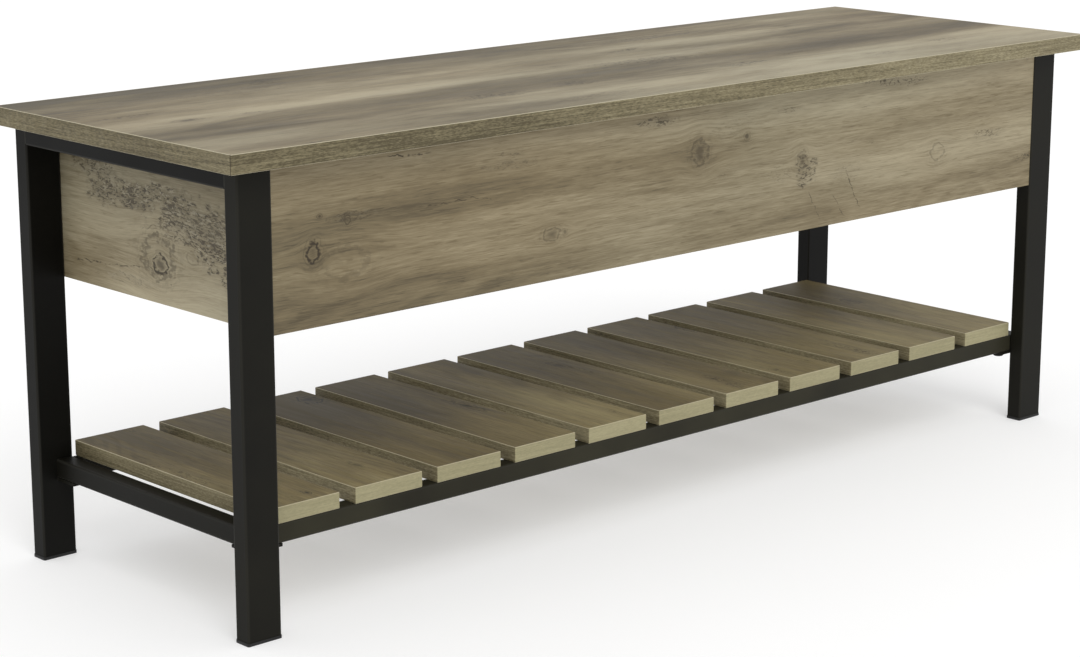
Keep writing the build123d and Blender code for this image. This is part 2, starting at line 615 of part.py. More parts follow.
with BuildPart() as lid_screws:
    screw_end = lid_underside + lid_screw_depth
    bars("Z", lid_leaf_screws, screw_head, lid_leaf_z[0] - screw_head_height, lid_leaf_z[0])
    bars("Z", lid_leaf_screws, screw_radius, lid_leaf_z[0], screw_end)
    places = [(s * stay_x, y) for s in sides.values() for y in lid_bracket_screw_y]
    bars("Z", places, screw_head, base_z[0] - screw_head_height, base_z[0])
    bars("Z", places, screw_radius, base_z[0], screw_end)
save(lid_screws, "lid_screws")
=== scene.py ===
"""The looks of a lift-top storage bench, built around its CAD frame.

Grey-washed, wood-grained boards on a black powder-coated tube frame. Lengths
are in metres and places come from the frame's own boxes. The features of a
board's print (knots, fleck clusters, cracks) are in millimetres from its corner.
"""

import math

import bmesh
import bpy
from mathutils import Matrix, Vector


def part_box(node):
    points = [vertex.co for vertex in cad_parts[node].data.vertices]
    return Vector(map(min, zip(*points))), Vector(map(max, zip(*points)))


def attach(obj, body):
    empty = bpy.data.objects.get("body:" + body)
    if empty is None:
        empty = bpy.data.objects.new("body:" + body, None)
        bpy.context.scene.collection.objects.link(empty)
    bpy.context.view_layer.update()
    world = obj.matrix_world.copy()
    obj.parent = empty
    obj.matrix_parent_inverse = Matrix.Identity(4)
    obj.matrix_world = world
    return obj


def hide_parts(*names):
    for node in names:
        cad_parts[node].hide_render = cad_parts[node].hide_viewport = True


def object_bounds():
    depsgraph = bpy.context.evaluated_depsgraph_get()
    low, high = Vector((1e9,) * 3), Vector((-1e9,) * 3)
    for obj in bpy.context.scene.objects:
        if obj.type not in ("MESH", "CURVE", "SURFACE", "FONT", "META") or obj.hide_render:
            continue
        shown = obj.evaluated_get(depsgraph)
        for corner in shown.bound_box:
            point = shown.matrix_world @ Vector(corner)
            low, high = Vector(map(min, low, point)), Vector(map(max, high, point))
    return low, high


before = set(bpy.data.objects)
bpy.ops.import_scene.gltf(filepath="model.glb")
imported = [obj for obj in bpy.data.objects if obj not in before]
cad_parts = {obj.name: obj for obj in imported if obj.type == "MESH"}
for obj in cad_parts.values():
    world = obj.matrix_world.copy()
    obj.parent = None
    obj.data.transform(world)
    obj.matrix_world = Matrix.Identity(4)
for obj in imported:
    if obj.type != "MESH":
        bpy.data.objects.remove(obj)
cad_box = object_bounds()

MM = 0.001


# ---- Colours --------------------------------------------------------------------
def srgb(red, green, blue):
    """An 8-bit display colour as the linear RGBA that Blender's nodes take."""
    parts = [part / 255 for part in (red, green, blue)]
    linear = [((part + 0.055) / 1.055) ** 2.4 if part > 0.04 else part / 12.92 for part in parts]
    return (*linear, 1.0)


# The board print, from its darkest streaks to its palest, and its marks
WASH_DARK = srgb(80, 72, 54)
WASH_WARM = srgb(110, 100, 77)
WASH_MID = srgb(130, 121, 98)
WASH_PALE = srgb(163, 155, 132)
WASH_MARK = srgb(44, 35, 22)
SLAT_MARK = srgb(24, 19, 12)
# The printed edge banding, the slats' pale ends, and the light that a rounded edge catches
BAND_DARK = srgb(76, 68, 46)
BAND_MID = srgb(119, 110, 83)
BAND_PALE = srgb(152, 143, 113)
END_PALE = srgb(158, 153, 119)
BEAD = srgb(198, 190, 164)
# Tints over the print
WARM_TINT = (1.05, 0.985, 0.9, 1.0)
COOL_TINT = (0.975, 1.0, 1.0, 1.0)
SLAT_TINT = (1.0, 1.0, 0.78, 1.0)


# ---- Node helpers -----------------------------------------------------------------
MIX_COLOUR_A, MIX_COLOUR_B, MIX_COLOUR_RESULT = 6, 7, 2     # a Mix node's colour sockets
NOISE_LOW, NOISE_HIGH = 0.3, 0.7                            # what most of a noise lies between


class Tree:
    """Short calls for building one node tree. A value is a number or a socket."""

    def __init__(self, tree):
        self.nodes = tree.nodes
        self.links = tree.links

    def put(self, socket, value):
        if isinstance(value, bpy.types.NodeSocket):
            self.links.new(value, socket)
        else:
            socket.default_value = value

    def math(self, operation, a, b=0.0, c=0.0, clamp=False):
        node = self.nodes.new("ShaderNodeMath")
        node.operation = operation
        node.use_clamp = clamp
        for socket, value in zip(node.inputs, (a, b, c)):
            self.put(socket, value)
        return node.outputs[0]

    def add(self, first, *others):
        for other in others:
            first = self.math("ADD", first, other)
        return first

    def times(self, first, *others):
        for other in others:
            first = self.math("MULTIPLY", first, other)
        return first

    def most(self, first, *others):
        for other in others:
            first = self.math("MAXIMUM", first, other)
        return first

    def length(self, x, y):
        return self.math("SQRT", self.add(self.times(x, x), self.times(y, y)))

    def ramp(self, value, start, end, low, high, shape):
        """Low at start, high at end, and level beyond either."""
        node = self.nodes.new("ShaderNodeMapRange")
        node.interpolation_type = shape
        for name, number in (("Value", value), ("From Min", start), ("From Max", end),
                             ("To Min", low), ("To Max", high)):
            self.put(node.inputs[name], number)
        return node.outputs["Result"]

    def fade(self, value, start, end, low=0.0, high=1.0):
        """A smooth step from low at start to high at end."""
        return self.ramp(value, start, end, low, high, "SMOOTHSTEP")

    def scaled(self, value, low, high):
        """Noise stretched so that its usual range runs from low to high."""
        return self.ramp(value, NOISE_LOW, NOISE_HIGH, low, high, "LINEAR")

    def off(self, value, middle):
        """How far a value is from a middle, on either side."""
        return self.math("ABSOLUTE", self.math("SUBTRACT", value, middle))

    def split(self, vector):
        node = self.nodes.new("ShaderNodeSeparateXYZ")
        self.put(node.inputs[0], vector)
        return list(node.outputs)

    def join(self, x, y, z):
        node = self.nodes.new("ShaderNodeCombineXYZ")
        for socket, value in zip(node.inputs, (x, y, z)):
            self.put(socket, value)
        return node.outputs[0]

    def moved(self, vector, offset, factors):
        """(vector + offset) * factors, part by part."""
        node = self.nodes.new("ShaderNodeVectorMath")
        node.operation = "MULTIPLY"
        shift = self.nodes.new("ShaderNodeVectorMath")
        self.put(shift.inputs[0], vector)
        self.put(shift.inputs[1], offset)
        self.put(node.inputs[0], shift.outputs[0])
        self.put(node.inputs[1], factors)
        return node.outputs[0]

    def noise(self, vector, scale=1.0, detail=2.0, roughness=0.5, distortion=0.0):
        node = self.nodes.new("ShaderNodeTexNoise")
        for name, value in (("Vector", vector), ("Scale", scale), ("Detail", detail),
                            ("Roughness", roughness), ("Distortion", distortion)):
            self.put(node.inputs[name], value)
        return node.outputs["Fac"]

    def blend(self, factor, a, b, mode="MIX"):
        node = self.nodes.new("ShaderNodeMix")
        node.data_type = "RGBA"
        node.blend_type = mode
        self.put(node.inputs[0], factor)
        self.put(node.inputs[MIX_COLOUR_A], a)
        self.put(node.inputs[MIX_COLOUR_B], b)
        return node.outputs[MIX_COLOUR_RESULT]

    def colours(self, value, *stops):
        """A colour ramp through (position, colour) stops."""
        node = self.nodes.new("ShaderNodeValToRGB")
        self.put(node.inputs[0], value)
        ramp = node.color_ramp
        while len(ramp.elements) < len(stops):
            ramp.elements.new(1.0)
        for element, (position, colour) in zip(ramp.elements, stops):
            element.position = position
            element.color = colour
        return node.outputs["Color"]

    def group(self, tree, **values):
        node = self.nodes.new("ShaderNodeGroup")
        node.node_tree = tree
        for name, value in values.items():
            self.put(node.inputs[name.replace("_", " ")], value)
        return node.outputs

    def bump(self, height, strength, distance):
        node = self.nodes.new("ShaderNodeBump")
        self.put(node.inputs["Height"], height)
        node.inputs["Strength"].default_value = strength
        node.inputs["Distance"].default_value = distance
        return node.outputs["Normal"]

    def position(self):
        return self.nodes.new("ShaderNodeTexCoord").outputs["Object"]

    def normal(self):
        return self.nodes.new("ShaderNodeTexCoord").outputs["Normal"]


def new_group(name, inputs, outputs):
    """An empty node group with float sockets, and its tree helper."""
    tree = bpy.data.node_groups.new(name, "ShaderNodeTree")
    for socket in inputs:
        tree.interface.new_socket(socket, in_out="INPUT", socket_type="NodeSocketFloat")
    for socket in outputs:
        tree.interface.new_socket(socket, in_out="OUTPUT", socket_type="NodeSocketFloat")
    helper = Tree(tree)
    start = tree.nodes.new("NodeGroupInput")
    end = tree.nodes.new("NodeGroupOutput")
    return tree, helper, start.outputs, end.inputs


def new_material(name, **settings):
    """A material with a Principled shader, its numbers set on the shader's own sockets."""
    material = bpy.data.materials.new(name)
    material.use_nodes = True
    shader = material.node_tree.nodes["Principled BSDF"]
    for socket, value in settings.items():
        shader.inputs[socket.replace("_", " ")].default_value = value
    return material, Tree(material.node_tree), shader


# ---- Features of the wood print ------------------------------------------------------
KNOT_RAGGED, CLUSTER_RAGGED = 1.5, 1.6       # how far the wobble shifts an outline, a share of its reach
KNOT_BEND = 0.45                             # how strongly the grain bends round a knot
RINGS_PER_REACH = 9.0
CRACK_WANDER = 9.0                           # from side to side, in half widths of the crack
# Where the break noise lets an outline or a crack show
OUTLINE_BREAK = (0.32, 0.46)
CRACK_BREAK = (0.38, 0.52)


def knot_group():
    """A knot: dark core, broken outline, faint rings, and grain that flows round it."""
    tree, t, given, result = new_group(
        "knot",
        ("Along", "Across", "Wobble", "Break", "Centre Along", "Centre Across",
         "Half Along", "Half Across", "Core", "Outline", "Strength"),
        ("Mark", "Bend", "Halo"),
    )
    along = t.math("SUBTRACT", given["Along"], given["Centre Along"])
    across = t.math("SUBTRACT", given["Across"], given["Centre Across"])
    share_along = t.math("DIVIDE", along, given["Half Along"])
    share_across = t.math("DIVIDE", across, given["Half Across"])
    reach = t.length(share_along, share_across)
    ragged = t.math("MULTIPLY_ADD", t.math("SUBTRACT", given["Wobble"], 0.5), KNOT_RAGGED, reach)
    off_line = t.off(ragged, 1.0)
    broken = t.fade(given["Break"], *OUTLINE_BREAK)
    outline = t.times(t.fade(off_line, 0.05, 0.26, 1.0, 0.0), broken, given["Outline"])
    core = t.times(t.fade(ragged, 0.1, 0.95, 1.0, 0.0), given["Core"])
    ripples = t.fade(t.math("SINE", t.times(ragged, RINGS_PER_REACH)), 0.2, 1.0)
    rings = t.times(ripples, t.fade(reach, 0.9, 2.8, 0.34, 0.0), given["Outline"])
    halo = t.fade(reach, 0.3, 3.4, 1.0, 0.0)
    t.put(result["Mark"], t.times(t.most(outline, core, rings), given["Strength"]))
    t.put(result["Bend"], t.times(across, halo, KNOT_BEND))
    t.put(result["Halo"], t.times(halo, halo, given["Strength"]))
    return tree


def cluster_group():
    """A ragged patch of the board, 1 inside and 0 outside."""
    tree, t, given, result = new_group(
        "cluster",
        ("Along", "Across", "Wobble", "Centre Along", "Centre Across",
         "Half Along", "Half Across", "Strength"),
        ("Mask",),
    )
    along = t.math("SUBTRACT", given["Along"], given["Centre Along"])
    along = t.math("DIVIDE", along, given["Half Along"])
    across = t.math("SUBTRACT", given["Across"], given["Centre Across"])
    across = t.math("DIVIDE", across, given["Half Across"])
    wobble = t.math("SUBTRACT", given["Wobble"], 0.5)
    ragged = t.math("MULTIPLY_ADD", wobble, CLUSTER_RAGGED, t.length(along, across))
    t.put(result["Mask"], t.times(t.fade(ragged, 0.35, 1.15, 1.0, 0.0), given["Strength"]))
    return tree


def crack_group():
    """A thin wandering line from a start point, in a given direction, that fades at its ends."""
    tree, t, given, result = new_group(
        "crack",
        ("Along", "Across", "Wobble", "Break", "Start Along", "Start Across",
         "Run Along", "Run Across", "Length", "Half Width", "Strength"),
        ("Mark",),
    )
    along = t.math("SUBTRACT", given["Along"], given["Start Along"])
    across = t.math("SUBTRACT", given["Across"], given["Start Across"])
    travelled = t.add(t.times(along, given["Run Along"]), t.times(across, given["Run Across"]))
    aside = t.math("SUBTRACT", t.times(across, given["Run Along"]), t.times(along, given["Run Across"]))
    wander = t.times(t.math("SUBTRACT", given["Wobble"], 0.5), given["Half Width"], CRACK_WANDER)
    off_line = t.math("DIVIDE", t.math("ABSOLUTE", t.add(aside, wander)), given["Half Width"])
    share = t.math("DIVIDE", travelled, given["Length"])
    inside = t.times(t.fade(share, 0.0, 0.12), t.fade(share, 0.85, 1.0, 1.0, 0.0))
    broken = t.fade(given["Break"], *CRACK_BREAK)
    t.put(result["Mark"], t.times(t.fade(off_line, 0.2, 1.2, 1.0, 0.0), inside, broken, given["Strength"]))
    return tree


KNOT = knot_group()
CLUSTER = cluster_group()
CRACK = crack_group()


def print_inputs(board):
    """What every feature group takes: the place on the board, and the noise that makes it ragged."""
    return {"Along": board["along"], "Across": board["across"], "Wobble": board["wobble"]}


def place_knots(t, board, knots):
    """Adds every knot of a board. Returns the dark marks, the grain's shift and the halo."""
    mark, bend, halo = 0.0, 0.0, 0.0
    for along, across, half_along, half_across, core, outline, strength in knots:
        out = t.group(
            KNOT, **print_inputs(board), Break=board["break"],
            Centre_Along=board["corner"][0] + along * MM, Centre_Across=board["corner"][1] + across * MM,
            Half_Along=half_along * MM, Half_Across=half_across * MM,
            Core=core, Outline=outline, Strength=strength,
        )
        mark = t.most(mark, out["Mark"])
        bend = t.add(bend, out["Bend"])
        halo = t.most(halo, out["Halo"])
    return mark, bend, halo


def place_clusters(t, board, clusters):
    """Adds every fleck cluster of a board. Returns where they lie."""
    mask = 0.0
    for along, across, half_along, half_across, strength in clusters:
        out = t.group(
            CLUSTER, **print_inputs(board),
            Centre_Along=board["corner"][0] + along * MM, Centre_Across=board["corner"][1] + across * MM,
            Half_Along=half_along * MM, Half_Across=half_across * MM, Strength=strength,
        )
        mask = t.most(mask, out["Mask"])
    return mask


def place_cracks(t, board, cracks):
    """Adds every crack of a board. Returns the dark marks."""
    mark = 0.0
    for along, across, end_along, end_across, half_width, strength in cracks:
        run = Vector((end_along - along, end_across - across)) * MM
        way = run.normalized()
        out = t.group(
            CRACK, **print_inputs(board), Break=board["break"],
            Start_Along=board["corner"][0] + along * MM, Start_Across=board["corner"][1] + across * MM,
            Run_Along=way.x, Run_Across=way.y, Length=run.length,
            Half_Width=half_width * MM, Strength=strength,
        )
        mark = t.most(mark, out["Mark"])
    return mark


# ---- Board materials -------------------------------------------------------------------
# The printed grain, coarse to fine: noise cycles per metre along and across the grain, its detail,
# roughness and distortion, and how far it swings the tone. Contrast widens the broad layers' swing.
GRAIN = {
    "bands": (0.8, 10.0, 2.0, 0.5, 0.2, 0.3),
    "patches": (3.4, 19.0, 3.0, 0.55, 0.3, 0.17),
    "smudges": (11.0, 60.0, 4.0, 0.62, 0.35, 0.07),
    "streaks": (4.5, 150.0, 4.0, 0.68, 0.0, 0.12),
    "dashes": (24.0, 400.0, 3.0, 0.65, 0.2, 0.085),
    "fibres": (45.0, 1000.0, 2.0, 0.6, 0.0, 0.1),
}
BROAD_LAYERS = ("bands", "patches")
# Where a noise begins to show as a mark, and where it shows in full
TICK_FADE = (0.58, 0.66)
RING_ZONE_FADE = (0.46, 0.62)
LOOSE_FADE = (0.6, 0.72)
FLECK_FADE = (0.54, 0.64)
BLOT_FADE = (0.52, 0.66)
CHALK_FADE = (0.54, 0.64)
# How much more readily flecks show where a cluster is, and how strong its blots are
CLUSTER_BOOST, BLOT_STRENGTH = 0.09, 0.4
# How much darker each kind of mark makes the tone
TICK_SHADE, RING_SHADE, HALO_SHADE = -0.14, -0.12, -0.07
RING_DENSITY = 95.0
TINT_DRIFT = 0.6                 # how far a board drifts between the warm and the cool tint
MARK_STRENGTH, MARK_LIMIT = 0.95, 0.92
# The dirt and chalk in a board's fleck clusters, unless its features say otherwise
USUAL_DIRT, USUAL_CHALK = 0.34, 0.2
# The laminate's embossing: noise cycles per metre along, across and through the board
PORE_SCALE = (48.0, 900.0, 48.0)
WAVE_SCALE = (12.0, 160.0, 12.0)


def grain_tone(t, print_noise, board, halo, lightness, contrast):
    """The tone of the print with the board's painted light and shade, 0 for its darkest colour and 1 for
    its palest, and its noise layers.
    """
    layers = {}
    tone = t.add(lightness, board["shade"], t.times(halo, HALO_SHADE))
    for name, (along, across, detail, roughness, distortion, swing) in GRAIN.items():
        layers[name] = print_noise(along, across, detail=detail, roughness=roughness, distortion=distortion)
        swing *= contrast if name in BROAD_LAYERS else 1.0
        tone = t.add(tone, t.scaled(layers[name], -swing, swing))
    ticks = t.fade(print_noise(42.0, 560.0, detail=2.0, distortion=0.5), *TICK_FADE)
    contour = print_noise(1.7, 9.0, detail=1.0, distortion=0.5)
    rings = t.fade(t.math("SINE", t.times(contour, RING_DENSITY)), -0.2, 1.0)
    ring_zone = t.fade(print_noise(2.6, 8.0, detail=1.0), *RING_ZONE_FADE)
    tone = t.add(tone, t.times(ticks, TICK_SHADE), t.times(rings, ring_zone, RING_SHADE))
    return tone, layers


def wash_colour(t, print_noise, tone, warmth):
    """The grey wash at a given tone, drifting between a warm and a cool tint."""
    colour = t.colours(tone, (0.0, WASH_DARK), (0.33, WASH_WARM), (0.56, WASH_MID), (1.0, WASH_PALE))
    drift = t.scaled(print_noise(2.2, 7.0, detail=2.0), 0.0, 1.0)
    warm = t.blend(1.0, colour, WARM_TINT, "MULTIPLY")
    cool = t.blend(1.0, colour, COOL_TINT, "MULTIPLY")
    share = t.math("MULTIPLY_ADD", drift, TINT_DRIFT, warmth - TINT_DRIFT / 2, clamp=True)
    return t.blend(share, cool, warm)


def print_marks(t, print_noise, board, features, layers):
    """The dark flecks, blots, cracks and dirt of the print, and its chalky spots."""
    cluster = place_clusters(t, board, features.get("clusters", ()))
    loose = t.fade(print_noise(7.0, 26.0, detail=2.0), *LOOSE_FADE, 0.0, 0.5)
    zone = t.most(cluster, loose)
    fleck_noise = print_noise(160.0, 400.0, detail=3.0, roughness=0.65, distortion=0.9)
    flecks = t.fade(t.math("MULTIPLY_ADD", zone, CLUSTER_BOOST, fleck_noise), *FLECK_FADE)
    flecks = t.times(flecks, t.fade(zone, 0.05, 0.6), t.scaled(layers["patches"], 1.0, 0.6))
    blot_noise = print_noise(46.0, 120.0, detail=3.0, distortion=0.8)
    blots = t.times(t.fade(blot_noise, *BLOT_FADE), cluster, BLOT_STRENGTH)
    chalk = t.times(t.fade(print_noise(130.0, 300.0, detail=1.0), *CHALK_FADE), cluster)
    cracks = place_cracks(t, board, features.get("cracks", ()))
    dirt = t.times(zone, t.scaled(layers["smudges"], 0.0, features.get("dirt", USUAL_DIRT)))
    return t.most(cracks, flecks, blots, dirt), chalk


def wood_face(t, board, seed, features, warmth, lightness, contrast):
    """Colour, relief and grain streaks of a printed wood face. The relief is the laminate's embossing."""
    mark, bend, halo = place_knots(t, board, features.get("knots", ()))
    flow = t.join(board["along"], t.math("SUBTRACT", board["across"], bend), board["through"])
    shift = (seed * 3.71, seed * 1.93, seed * 0.37)

    def print_noise(along, across, **settings):
        return t.noise(t.moved(flow, shift, (along, across, across)), **settings)

    tone, layers = grain_tone(t, print_noise, board, halo, lightness, contrast)
    colour = wash_colour(t, print_noise, tone, warmth)
    marks, chalk = print_marks(t, print_noise, board, features, layers)
    marks = t.math("MINIMUM", t.times(t.most(mark, marks), MARK_STRENGTH), MARK_LIMIT)
    colour = t.blend(t.times(chalk, features.get("chalk", USUAL_CHALK)), colour, WASH_PALE)
    colour = t.blend(marks, colour, WASH_MARK)
    pores = t.noise(t.moved(board["place"], shift, PORE_SCALE), detail=2.0, roughness=0.6)
    waves = t.noise(t.moved(board["place"], shift, WAVE_SCALE), detail=2.0)
    relief = t.add(t.scaled(pores, 0.0, 0.55), t.scaled(waves, 0.0, 0.45))
    return colour, relief, layers["streaks"]


# The edging's grain: noise cycles per metre along the strip and up it, its detail and roughness,
# and how far it swings the tone
BAND_GRAIN = {
    "lines": (14.0, 900.0, 3.0, 0.6, 0.24),
    "veins": (16.0, 260.0, 3.0, 0.6, 0.14),
    "clouds": (3.0, 20.0, 2.0, 0.5, 0.14),
    "pores": (230.0, 1000.0, 3.0, 0.65, 0.3),
}


def band_face(t, board, seed):
    """Colour and relief of the edge banding: fine broken lines along the edge."""
    shift = (seed * 0.77, seed * 0.31, seed * 0.11)
    layers = {}
    # The board's shade adds its painted light and shade to the banding's tone
    tone = t.add(0.5, board["shade"])
    for name, (along, up, detail, roughness, swing) in BAND_GRAIN.items():
        where = t.moved(board["place"], shift, (along, along, up))
        layers[name] = t.noise(where, detail=detail, roughness=roughness)
        tone = t.add(tone, t.scaled(layers[name], -swing, swing))
    colour = t.colours(tone, (0.0, BAND_DARK), (0.5, BAND_MID), (1.0, BAND_PALE))
    relief = t.add(t.scaled(layers["lines"], 0.0, 0.5), t.scaled(layers["pores"], 0.4, 0.0))
    return colour, relief


# How squarely a surface faces out of its board, from 0 on the edge to 1 on the face: the banding goes
# out over EDGE_TURN, and the rounded corner's light comes in over BEAD_TURN and goes out over FACE_TURN
EDGE_TURN = (0.25, 0.45)
BEAD_TURN = (0.25, 0.5)
FACE_TURN = (0.9, 0.99)
# Noise cycles per metre of what makes the features ragged and broken
WOBBLE_SCALE = (95.0, 130.0, 95.0)
BREAK_SCALE = (150.0, 260.0, 150.0)
EMBOSS_STRENGTH, EMBOSS_DEPTH = 0.3, 0.25 * MM


def board_material(name, axes, node, seed, features, warmth=0.45, lightness=0.5, shade=None, contrast=1.0,
                   all_band=False):
    """A grey-wash board. axes names the frame axes along the grain, across it and through the board."""
    material, t, shader = new_material(name, Specular_IOR_Level=0.32)
    place = dict(zip("XYZ", t.split(t.position())))
    along, across, through = (place[axis] for axis in axes)
    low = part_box(node)[0]
    board_place = t.join(along, across, through)
    board = {
        "along": along, "across": across, "through": through,
        "corner": [low["XYZ".index(axis)] for axis in axes[:2]],
        "place": board_place,
        "wobble": t.noise(t.moved(board_place, (seed, 0.0, 0.0), WOBBLE_SCALE), detail=2.0),
        "break": t.noise(t.moved(board_place, (0.0, seed, 0.0), BREAK_SCALE), detail=1.0),
        "shade": shade(t, place) if shade else 0.0,
    }
    band_colour, band_relief = band_face(t, board, seed)
    if all_band:
        colour, relief, streaks = band_colour, band_relief, board["wobble"]
    else:
        colour, relief, streaks = wood_face(t, board, seed, features, warmth, lightness, contrast)
    facing = t.math("ABSOLUTE", t.split(t.normal())["XYZ".index(axes[2])])
    on_edge = t.fade(facing, *EDGE_TURN, 1.0, 0.0)
    bead = t.fade(facing, *BEAD_TURN)
    if not all_band:
        bead = t.times(bead, t.fade(facing, *FACE_TURN, 1.0, 0.0))
    colour = t.blend(on_edge, colour, band_colour)
    colour = t.blend(t.times(bead, 0.9), colour, BEAD)
    if all_band:
        colour = t.blend(glue_lines(t, place), colour, WASH_MARK)
    relief = t.add(t.times(relief, t.math("SUBTRACT", 1.0, on_edge)), t.times(band_relief, on_edge))
    t.put(shader.inputs["Base Color"], colour)
    t.put(shader.inputs["Roughness"], t.scaled(streaks, 0.5, 0.66))
    t.put(shader.inputs["Normal"], t.bump(relief, EMBOSS_STRENGTH, EMBOSS_DEPTH))
    return material


def glue_lines(t, place):
    """The dark glue line at each corner, where an end strip meets the front or rear one."""
    core_low, core_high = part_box("lid_panel")
    middle = (core_low.y + core_high.y) / 2
    half = (core_high.y - core_low.y) / 2
    off_seam = t.off(t.off(place["Y"], middle), half)
    on_end = t.fade(t.math("ABSOLUTE", place["X"]), core_high.x, core_high.x + 0.2 * MM)
    return t.times(t.fade(off_seam, 0.3 * MM, 0.8 * MM, 0.8, 0.0), on_end)


# The shades say how much paler or darker a board is at a place, as a change to its tone: mostly painted
# light and painted shade, as each one tells
def lid_shade(t, place):
    """The lid's broad bands: pale along the front, then darker, pale again, and dark along the rear. Its
    fall from front to rear and its rise towards the right end are painted light.
    """
    low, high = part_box("lid_panel")
    y = place["Y"]
    # Painted light: paler towards the right end and towards the front, as the light falls
    lengthwise = t.fade(place["X"], low.x, high.x, -0.03, 0.05)
    rearward = t.fade(y, low.y + 40 * MM, high.y - 40 * MM, 0.1, -0.07)
    front_band = t.fade(y, low.y + 20 * MM, low.y + 90 * MM, 0.12, 0.0)
    dark_band = t.fade(t.off(y, low.y + 125 * MM), 0.0, 60 * MM, -0.08, 0.0)
    rear_band = t.fade(y, high.y - 110 * MM, high.y - 30 * MM, 0.0, -0.34)
    return t.add(lengthwise, rearward, front_band, dark_band, rear_band)


def band_shade(t, place):
    """Painted light and shade: the edging grows paler towards the lid's right end, and is a little darker
    along the front.
    """
    low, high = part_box("lid_panel")
    front_strip = t.fade(place["Y"], low.y - 0.1 * MM, low.y + 0.1 * MM, -0.14, 0.0)
    return t.add(front_strip, t.fade(place["X"], low.x, high.x, -0.16, 0.2))


def front_shade(t, place):
    """The front panel runs from warm and dark at its lower left to pale at its upper right. Its paler right
    and its paler top under the lid are painted light.
    """
    low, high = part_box("front_panel")
    z = place["Z"]
    middle = t.fade(t.off(z, (low.z + high.z) / 2), 0.0, (high.z - low.z) / 3, 0.05, -0.02)
    bottom = t.fade(z, low.z + 15 * MM, low.z + 65 * MM, -0.16, 0.0)
    # Painted light: paler near the top, against the shade under the lid
    top = t.fade(z, high.z - 60 * MM, high.z - 20 * MM, 0.0, 0.16)
    # Painted light: paler towards the right end, as lit from the right front
    return t.add(middle, bottom, top, t.fade(place["X"], low.x, high.x, -0.29, 0.2))


def end_shade(t, place):
    """Painted shade: an end panel is darker near its top, under the lid's overhang. It is also darker in
    its lower rear corner.
    """
    low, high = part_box("left_end_panel")
    # Painted shade under the lid's overhang: paler low down, darker near the top
    upward = t.fade(place["Z"], low.z + 70 * MM, high.z - 20 * MM, 0.14, -0.08)
    lower = t.fade(place["Z"], low.z + 15 * MM, low.z + 60 * MM, 1.0, 0.0)
    rear = t.fade(place["Y"], high.y - 130 * MM, high.y - 60 * MM, 0.0, -0.3)
    return t.add(upward, t.times(lower, rear))


def slat_shade(t, x, y, chance):
    """Each slat has its own tone. All are darker towards the rear, a painted shadow of the box above, and
    paler towards the right, painted light.
    """
    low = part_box("slat_01")[0]
    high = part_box("slat_11")[1]
    own = t.math("MULTIPLY_ADD", chance, 0.22, -0.11)
    # Painted shadow of the box over the slats' rear
    rearward = t.fade(y, low.y + 80 * MM, high.y, 0.04, -0.26)
    # Painted light: paler towards the right
    return t.add(own, rearward, t.fade(x, low.x, high.x, -0.03, 0.16))


# Where the features of each print are, in millimetres from the board's corner
LID_FEATURES = {
    # knots: along, across, half length, half width, core, outline, strength
    "knots": (
        (85, 181, 16, 6, 0.9, 0.5, 0.75),
        (737, 175, 12, 5, 0.6, 0.6, 0.6),
        (1018, 283, 5, 3, 0.9, 0.3, 0.6),
        (263, 369, 9, 3, 0.9, 0.2, 0.7),
        (580, 215, 14, 4, 0.6, 0.3, 0.5),
        (905, 60, 10, 5, 0.5, 0.6, 0.4),
    ),
    # clusters: along, across, half length, half width, strength
    "clusters": (
        (470, 34, 90, 16, 0.35),
        (395, 105, 55, 14, 0.55),
        (820, 320, 120, 18, 0.45),
        (230, 300, 100, 24, 0.3),
    ),
    # cracks: along, across, to along, to across, half width, strength
    "cracks": ((382, 112, 425, 90, 1.2, 0.7), (640, 330, 720, 322, 0.8, 0.5)),
}
FRONT_FEATURES = {
    "knots": (
        (46, 69, 7, 9, 0.3, 1.0, 1.0),
        (54, 101, 3, 2.5, 0.9, 0.6, 0.9),
        (86, 94, 3.5, 4, 0.2, 0.9, 0.75),
        (82, 55, 26, 14, 0.0, 0.6, 0.4),
        (339, 46, 11, 6, 0.7, 0.6, 0.75),
        (356, 46, 4, 4, 0.7, 0.4, 0.7),
        (545, 103, 12, 12, 0.75, 0.6, 0.8),
        (615, 111, 5, 5, 0.9, 0.4, 0.8),
        (702, 75, 8, 10, 0.8, 0.5, 0.8),
        (928, 59, 11, 9, 0.1, 0.8, 0.45),
    ),
    "clusters": (
        (92, 97, 38, 8, 0.4),
        (282, 121, 48, 7, 0.35),
        (485, 141, 34, 7, 0.6),
        (545, 100, 26, 22, 0.35),
        (590, 122, 46, 18, 0.25),
        (706, 64, 22, 22, 0.7),
        (668, 66, 30, 12, 0.3),
        (775, 52, 30, 20, 0.25),
        (930, 70, 50, 22, 0.18),
    ),
    "cracks": (
        (131, 146, 188, 144, 0.9, 0.95),
        (178, 94, 232, 95, 0.8, 0.8),
        (232, 95, 262, 91, 0.7, 0.6),
        (710, 46, 732, 6, 0.8, 0.6),
        (770, 62, 797, 10, 1.0, 0.7),
        (752, 34, 772, 5, 0.8, 0.55),
    ),
}
